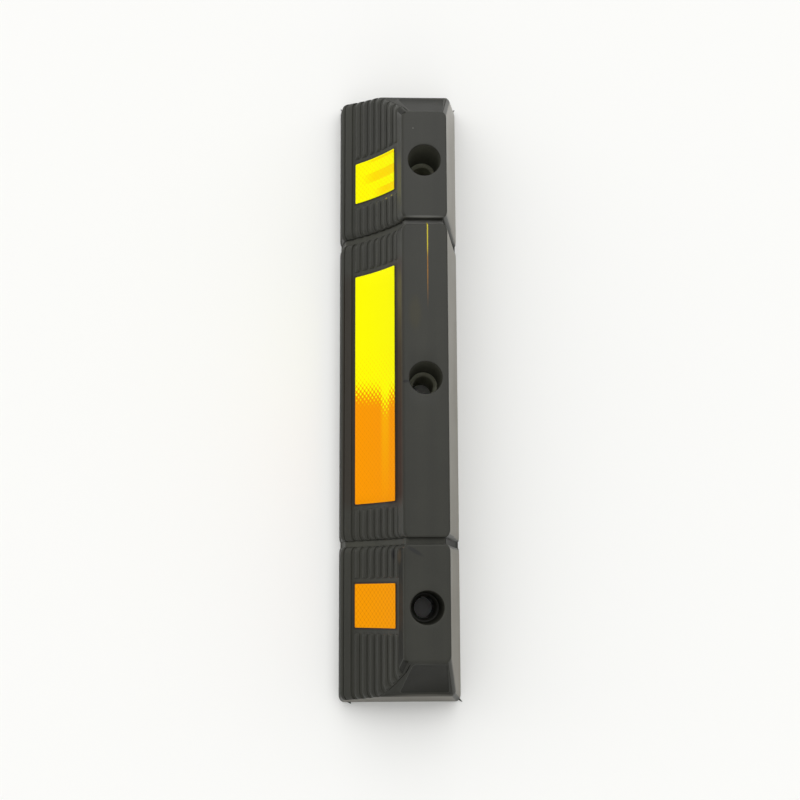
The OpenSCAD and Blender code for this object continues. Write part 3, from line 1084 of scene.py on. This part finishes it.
def finish_of(face):
    """The finish of a face, by its place and the way it faces. The right hole has no painted light."""
    x, y, z = face.center / MM
    out, back, up = abs(face.normal.x), face.normal.y, face.normal.z
    off = min(math.hypot(x - hole, y - hole_y) for hole in (-hole_x, 0, hole_x))
    # In the left and middle holes, lighter finishes paint light on the walls, the bore and the seat; the
    # right hole stays satin.
    if off < mouth_radius + 0.03 and z < height - 1:
        on_seat = off < bore_radius + 0.6 or (up > 0.3 and z > 10)
        lit_finish = "painted_light_seat" if on_seat else "hole"
        return "satin" if x > middle_half else lit_finish
    if out > 0.7 and up > 0.4 and abs(x) > chamfer_top_x - 2:
        sunk = (end_at(z) - abs(x)) * chamfer_drop
        return "matt" if sunk > panel_depth / 2 else "border"
    # The ends of the lip take the darker matt finish: painted shade.
    if abs(x) > chamfer_top_x - 8 and out > 0.3 and back < -0.2 and z > lip_foot.y - 2:
        return "matt"
    # In the grooves the lighter finish is painted light; the matt finish on the faces turned to the back is
    # painted shade.
    if middle_half < abs(x) < middle_half + groove_width and out < 0.5:
        return "matt" if back > 0.5 else "painted_light_groove"
    if (out > 0.93 and abs(x) > chamfer_foot_x - 3) or back > 0.9:
        return "smooth"
    # The toe and the right part of the lip take the darker matt finish: painted shade.
    on_toe = z < toe_height + 1
    on_right_lip = x > middle_half and z > lip_foot.y
    return "matt" if back < -0.9 and (on_toe or on_right_lip) else "satin"


looks = [finish_of(face) for face in block.data.polygons]
for face, look in zip(block.data.polygons, looks):
    face.material_index = order.index(look)
print("faces of each finish:", {name: looks.count(name) for name in order})

# %% [markdown]
# ## The film and the adhesive
#
# The film is a layer of clear prisms over coloured plastic. Seen close, it is a lattice of small
# diamonds. It throws light back by its angle to the lamp, so one end of the stop looks lemon yellow
# and the other deep orange, and in between the diamonds turn one by one. Here that change is painted
# along the sheet, so it stays the same wherever the eye is.

# %% Lay out the lattice of prisms
film_material, tree, film_shader = new_material("reflective_film", 0.02)
flat_x, flat_y = apart(tree, places_on(tree, "UV"))[:2]
diamond = 5.6 / DECIMETRE


def wave(tree, value):
    """0 on each line of the lattice and 1 between two lines."""
    turns = times(tree, value, math.pi / diamond)
    return calculate(tree, "ABSOLUTE", calculate(tree, "SINE", turns))


cell = times(tree, wave(tree, plus(tree, flat_x, flat_y)), wave(tree, minus(tree, flat_x, flat_y)))
lines = fade(tree, cell, 0.3, 0.0)

# %% Turn the colour from yellow to orange
# Places on the sheet are in decimetres, along it from the middle of the stop and up it from the toe.
turn_start = -0.26
turn_end = 0.38
streak_place = 0.62
slant = minus(tree, flat_x, times(tree, flat_y, 0.15))
turned = fade(tree, slant, turn_start, turn_end)
# The band along the upper part of the sheet is a painted highlight: yellow where the film turns, lighter
# amber beyond.
streak = fade(tree, away(tree, flat_y, streak_place), 0.09, 0.03)
yellow_streak = times(tree, streak, fade(tree, flat_x, 0.95, 0.3))
orange = minus(tree, times(tree, turned, 1.7), times(tree, cell, 0.75))
orange = fade(tree, minus(tree, orange, times(tree, yellow_streak, 0.4)), 0.05, 0.55)

# %% Mix the yellow and the orange
lemon = (1.0, 0.98, 0.0, 1)
lemon_line = (1.0, 0.6, 0.0, 1)
lemon_band = (1.0, 0.55, 0.0, 1)
near_amber = (0.92, 0.33, 0.0, 1)
middle_amber = (0.96, 0.32, 0.0, 1)
light_amber = (1.0, 0.46, 0.0, 1)
amber_line = (0.76, 0.23, 0.0, 1)
# The bands are painted light too: strips of the far tape that throw back more orange.
# Each band on the far strip is (place, half width, where it begins up the sheet, where it is full).
band_places = [(-2.096, 0.045, 0.22, 0.5), (-1.925, 0.035, 0.4, 0.62), (-2.266, 0.008, 0.3, 0.5)]

bands = 0.0
for place, half, begins, full in band_places:
    within = fade(tree, away(tree, flat_x, place), half + 0.01, half - 0.005)
    bands = plus(tree, bands, times(tree, within, fade(tree, flat_y, begins, full)))
turning = fade(tree, flat_x, -0.5, -0.1)
far_end = fade(tree, flat_x, -1.2, -1.8)
yellow_lines = plus(tree, 0.12, times(tree, plus(tree, turning, far_end), 0.25))
yellow = mix(tree, times(tree, lines, yellow_lines), lemon, lemon_line)
yellow = mix(tree, times(tree, bands, 0.55), yellow, lemon_band)

light_streak = times(tree, streak, fade(tree, flat_x, 1.3, 0.2))
amber_lines = plus(tree, 0.3, times(tree, fade(tree, flat_x, 1.2, 1.8), 0.5))
amber = mix(tree, fade(tree, flat_x, 0.9, 1.95), middle_amber, near_amber)
amber = mix(tree, times(tree, light_streak, 0.8), amber, light_amber)
amber = mix(tree, times(tree, lines, amber_lines), amber, amber_line)

film_colour = mix(tree, orange, yellow, amber)
coat(tree, film_shader, film_colour, plus(tree, 0.3, times(tree, lines, 0.2)))
# The film's faint glow is painted light: it stands in for the lamp's light that the prisms throw back.
feed(tree, film_shader.inputs["Emission Color"], film_colour)
film_shader.inputs["Emission Strength"].default_value = 0.05
bump(tree, film_shader, cell, 0.05, 0.3)

# %% Make the film's cut edge and the adhesive
edge_material, tree, shader = new_material("film_edge", 0.3)
# The cut edge is dark: partly dirty, and partly painted shade for the gap at the tape's rim.
dirty_and_shaded_edge = mix(tree, noise(tree, places_on(tree), 300), (0.03, 0.018, 0.006, 1), (0.10, 0.055, 0.01, 1))
coat(tree, shader, dirty_and_shaded_edge, 0.5)
for film in films:
    film.data.materials.append(film_material)
    film.data.materials.append(edge_material)

adhesive_material, tree, shader = new_material("adhesive", 0.3)
gum = noise(tree, places_on(tree), 400, 3)
cloudy_gum = mix(tree, gum, (0.60, 0.57, 0.47, 1), (0.74, 0.71, 0.62, 1))
coat(tree, shader, cloudy_gum, plus(tree, 0.6, times(tree, gum, 0.2)))
bump(tree, shader, gum, 0.1, 0.4)
adhesive_names = ("tape_adhesive_middle", "tape_adhesive_left", "tape_adhesive_right")
for name in adhesive_names:
    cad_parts[name].material_slots[0].material = adhesive_material
print("film on", len(films), "strips and adhesive on", len(adhesive_names), "layers")

# %% [markdown]
# ## The floor and the light
#
# The stop lies on a plain pale floor under a wide soft sky, as in a small photo studio. The sky is
# darker straight above, at the sides and towards the near end, and lighter past the far end. Three
# ramps give its tone by height, along X and across Y. The level is set so that a white card on the
# floor comes out white.

# %% Lay the floor
bpy.ops.mesh.primitive_plane_add(size=24, location=(0, 0, 0))
floor = bpy.context.object
floor.name = "floor"
floor_material, tree, shader = new_material("floor_pale", 0.0)
coat(tree, shader, (0.95, 0.95, 0.93, 1), 0.9)
floor.data.materials.append(floor_material)

# %% Light it with a soft sky
world = bpy.data.worlds.new("sky")
bpy.context.scene.world = world
world.use_nodes = True
tree = world.node_tree
sky_x, sky_y, sky_z = apart(tree, places_on(tree, "Generated"))


def tones(tree, value, stops):
    """The tone of the sky for a value from 0 to 1, through a list of (place, tone) stops."""
    node = tree.nodes.new("ShaderNodeValToRGB")
    feed(tree, node.inputs[0], value)
    ramp = node.color_ramp
    ramp.elements[0].position = stops[0][0]
    ramp.elements[1].position = stops[-1][0]
    for place, tone in stops[1:-1]:
        ramp.elements.new(place)
    for element, (place, tone) in zip(ramp.elements, stops):
        element.color = (tone, tone, tone, 1)
    return node.outputs[0]


height_stops = [(0, 0.8), (0.35, 0.7), (0.62, 0.85), (0.85, 1.2), (0.97, 1.1), (1, 1.0)]
length_stops = [(0, 1.15), (0.3, 1.2), (0.36, 1.55), (0.452, 0.68), (0.493, 0.53), (0.52, 0.37),
                (0.6, 0.42), (1, 0.72)]
width_stops = [(0, 1.05), (0.25, 1), (0.5, 0.75), (0.85, 0.66), (1, 0.85)]
by_height = tones(tree, sky_z, height_stops)
by_length = tones(tree, plus(tree, times(tree, sky_x, 0.5), 0.5), length_stops)
by_width = tones(tree, calculate(tree, "ABSOLUTE", sky_y), width_stops)
feed(tree, tree.nodes["Background"].inputs["Color"], times(tree, by_height, by_length, by_width))
tree.nodes["Background"].inputs["Strength"].default_value = 1.52
bpy.context.scene.view_settings.view_transform = "Standard"
